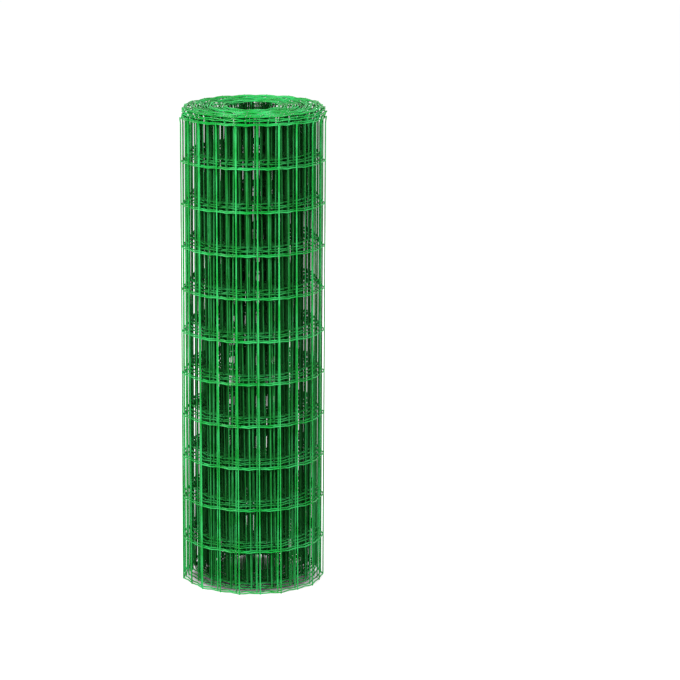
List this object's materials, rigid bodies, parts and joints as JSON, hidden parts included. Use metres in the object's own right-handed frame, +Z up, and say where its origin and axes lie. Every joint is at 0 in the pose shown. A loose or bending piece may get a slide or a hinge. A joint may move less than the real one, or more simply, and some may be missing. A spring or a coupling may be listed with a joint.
{
  "type": "roll of wire fencing",
  "caption": "Roll of green coated welded mesh fencing standing on its end, a turned body with its turns on both ends, line wires round the outside and an open bore.",
  "frame": {"origin": "on the ground at the middle of the roll", "axes": "+Z up along the roll's axis; the loose end of the mesh is at the back, towards +Y"},
  "size_m": [0.35, 0.35, 1.14],
  "materials": {
    "coated_wire": "glossy green PVC coat on galvanised steel wire"
  },
  "bodies": {
    "root": {"mesh_roll": "coated_wire"}
  },
  "joints": []
}
